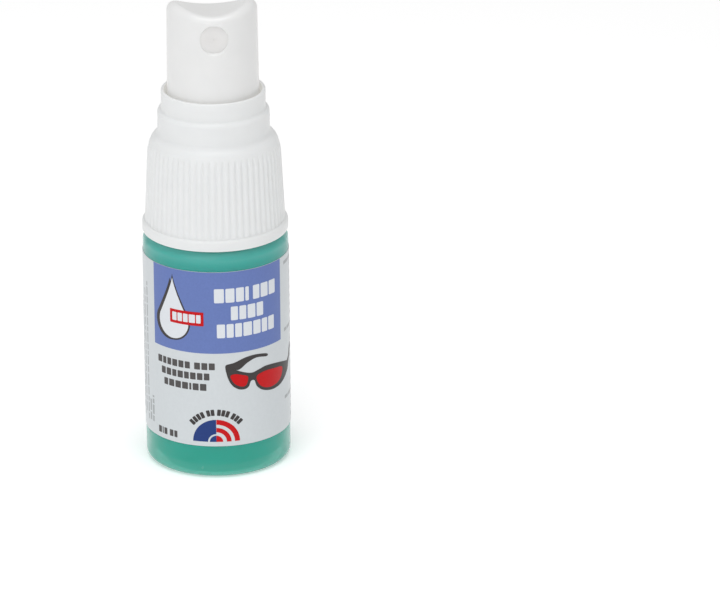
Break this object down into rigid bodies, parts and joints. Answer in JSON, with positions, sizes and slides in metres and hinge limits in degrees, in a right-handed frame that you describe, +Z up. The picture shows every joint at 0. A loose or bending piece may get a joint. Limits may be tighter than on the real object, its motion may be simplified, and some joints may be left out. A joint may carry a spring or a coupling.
{
  "type": "lens cleaning spray",
  "caption": "Small round pump spray bottle with a wrapped label, ribbed screw closure with two-step collar, and a push-button mist pump.",
  "frame": {"origin": "centre of the bottle's base, on the surface it stands on", "axes": "+Z up along the bottle; -Y towards the middle of the label, where the nozzle points"},
  "size_m": [0.0252, 0.0252, 0.0828],
  "materials": {
    "bottle_plastic": "satin, natural translucent polyethylene",
    "liquid": null,
    "label_film": "printed film label, satin",
    "closure_plastic": "satin moulded polypropylene",
    "gasket_foam": "matte foam",
    "pump_plastic": "moulded natural polypropylene",
    "tube_plastic": "extruded natural polyethylene",
    "steel": "polished stainless ball",
    "stem_plastic": "moulded acetal",
    "piston_plastic": "moulded low-density polyethylene",
    "spring_steel": "drawn stainless wire",
    "button_plastic": "satin moulded polypropylene",
    "nozzle_plastic": "moulded acetal, slightly warm white"
  },
  "bodies": {
    "bottle": {"bottle": "bottle_plastic", "liquid": "liquid", "label": "label_film"},
    "pump": {"pump_housing": "pump_plastic", "gasket": "gasket_foam", "gland": "pump_plastic", "dip_tube": "tube_plastic", "return_spring": "spring_steel"},
    "closure": {"closure": "closure_plastic"},
    "stem": {"stem": "stem_plastic", "stem_plug": "stem_plastic", "valve_spring": "spring_steel"},
    "piston": {"piston": "piston_plastic"},
    "inlet_ball": {"inlet_ball": "steel"},
    "actuator": {"actuator": "button_plastic", "nozzle_insert": "nozzle_plastic"}
  },
  "joints": [
    {"name": "pump_lift", "type": "slide", "parent": "bottle", "child": "pump", "axis": [0, 0, 1], "range_m": [0, 0.00397]},
    {"name": "closure_turn", "type": "hinge", "parent": "pump", "child": "closure", "pos_m": [0, 0, 0.05], "axis": [0, 0, 1], "range_deg": [0, 450]},
    {"name": "press", "type": "slide", "parent": "pump", "child": "stem", "axis": [0, 0, -1], "range_m": [0, 0.0044], "stiffness_N_per_m": 600, "springref_m": -0.004, "deforming": ["return_spring"]},
    {"name": "piston_slip", "type": "slide", "parent": "stem", "child": "piston", "axis": [0, 0, 1], "range_m": [0, 0.0006], "stiffness_N_per_m": 500, "springref_m": -0.002, "deforming": ["valve_spring"]},
    {"name": "inlet_lift", "type": "slide", "parent": "pump", "child": "inlet_ball", "axis": [0, 0, 1], "range_m": [0, 0.00045]},
    {"name": "nozzle_turn", "type": "hinge", "parent": "stem", "child": "actuator", "pos_m": [0, 0, 0.072], "axis": [0, 0, 1], "continuous": true}
  ],
  "couplings": [
    {"joint": "closure_turn", "follows": "pump_lift", "rad_per_m": 1979}
  ]
}
